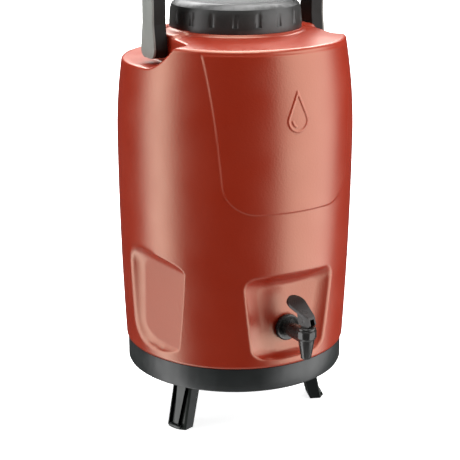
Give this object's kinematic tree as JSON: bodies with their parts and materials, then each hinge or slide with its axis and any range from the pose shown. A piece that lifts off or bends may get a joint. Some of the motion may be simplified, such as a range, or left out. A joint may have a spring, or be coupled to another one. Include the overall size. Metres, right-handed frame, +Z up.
{
  "type": "insulated beverage dispenser",
  "caption": "Insulated barrel-shaped beverage dispenser with a lever faucet, a screw lid, a bail handle and folding legs under a dark base.",
  "frame": {"origin": "centre of the base underside, level with the rim of the base", "axes": "+Z up along the barrel axis, the faucet faces -Y, the handle pivots along X"},
  "size_m": [0.29, 0.3266, 0.5922],
  "materials": {
    "red_plastic": "fine pebble grain, satin",
    "foam": "open cell cut foam",
    "liner_plastic": "smooth moulded",
    "dark_plastic": "satin moulded",
    "leg_plastic": "satin moulded",
    "handle_plastic": "fine grain",
    "washer_plastic": "smooth",
    "faucet_plastic": "polished moulded",
    "seal_rubber": "soft silicone",
    "steel": "plain"
  },
  "bodies": {
    "root": {"outer_shell": "red_plastic", "foam_insulation": "foam", "inner_liner": "liner_plastic", "base_ring": "dark_plastic", "leg_hinge_pins": "steel", "base_screws": "steel", "handle_pivot_pins": "steel", "handle_washers": "washer_plastic", "faucet_body": "faucet_plastic", "faucet_nut": "faucet_plastic", "faucet_washer_outer": "seal_rubber", "faucet_washer_inner": "seal_rubber"},
    "handle_bail": {"handle": "handle_plastic"},
    "lid_carrier": {"lid_gasket": "seal_rubber"},
    "lid": {"lid_cap": "dark_plastic", "lid_inner": "liner_plastic", "lid_foam": "foam"},
    "vent": {"vent_plug": "dark_plastic", "vent_seal": "seal_rubber"},
    "leg_fl": {"leg_front_left": "leg_plastic"},
    "leg_fr": {"leg_front_right": "leg_plastic"},
    "leg_r": {"leg_rear": "leg_plastic"},
    "bonnet": {"faucet_bonnet": "faucet_plastic", "faucet_spring": "steel"},
    "stem": {"faucet_stem": "faucet_plastic", "faucet_seat_cup": "seal_rubber", "faucet_lever_pin": "faucet_plastic"},
    "lever": {"faucet_lever": "faucet_plastic"}
  },
  "joints": [
    {"name": "handle_swing", "type": "hinge", "parent": "root", "child": "handle_bail", "pos_m": [0, 0, 0.405], "axis": [1, 0, 0], "range_deg": [-90, 65]},
    {"name": "lid_lift", "type": "slide", "parent": "root", "child": "lid_carrier", "axis": [0, 0, 1], "range_m": [0, 0.0361]},
    {"name": "lid_turn", "type": "hinge", "parent": "lid_carrier", "child": "lid", "pos_m": [0, 0, 0.43], "axis": [0, 0, 1], "range_deg": [0, 540]},
    {"name": "vent_pull", "type": "slide", "parent": "lid", "child": "vent", "axis": [0, 0, 1], "range_m": [0, 0.006]},
    {"name": "front_left_leg_fold", "type": "hinge", "parent": "root", "child": "leg_fl", "pos_m": [-0.08852, -0.03309, 0.01], "axis": [0.3502, -0.9367, 0], "range_deg": [0, 102]},
    {"name": "front_right_leg_fold", "type": "hinge", "parent": "root", "child": "leg_fr", "pos_m": [0.08852, -0.03309, 0.01], "axis": [0.3502, 0.9367, 0], "range_deg": [0, 102]},
    {"name": "rear_leg_fold", "type": "hinge", "parent": "root", "child": "leg_r", "pos_m": [0, 0.0945, 0.01], "axis": [-1, 0, 0], "range_deg": [0, 102]},
    {"name": "bonnet_swivel", "type": "hinge", "parent": "root", "child": "bonnet", "pos_m": [0, -0.17, 0.085], "axis": [0, 0, 1], "range_deg": [-150, 150]},
    {"name": "stem_lift", "type": "slide", "parent": "bonnet", "child": "stem", "axis": [0, 0, 1], "range_m": [0, 0.00288], "deforming": ["faucet_spring"]},
    {"name": "lever_tilt", "type": "hinge", "parent": "stem", "child": "lever", "pos_m": [0, -0.17, 0.097], "axis": [0.9703, 0.2419, 0], "range_deg": [0, 55]}
  ],
  "couplings": [
    {"joint": "lid_lift", "follows": "lid_turn", "m_per_rad": 0.0038197},
    {"joint": "lever_tilt", "follows": "stem_lift", "rad_per_m": 333.33}
  ]
}
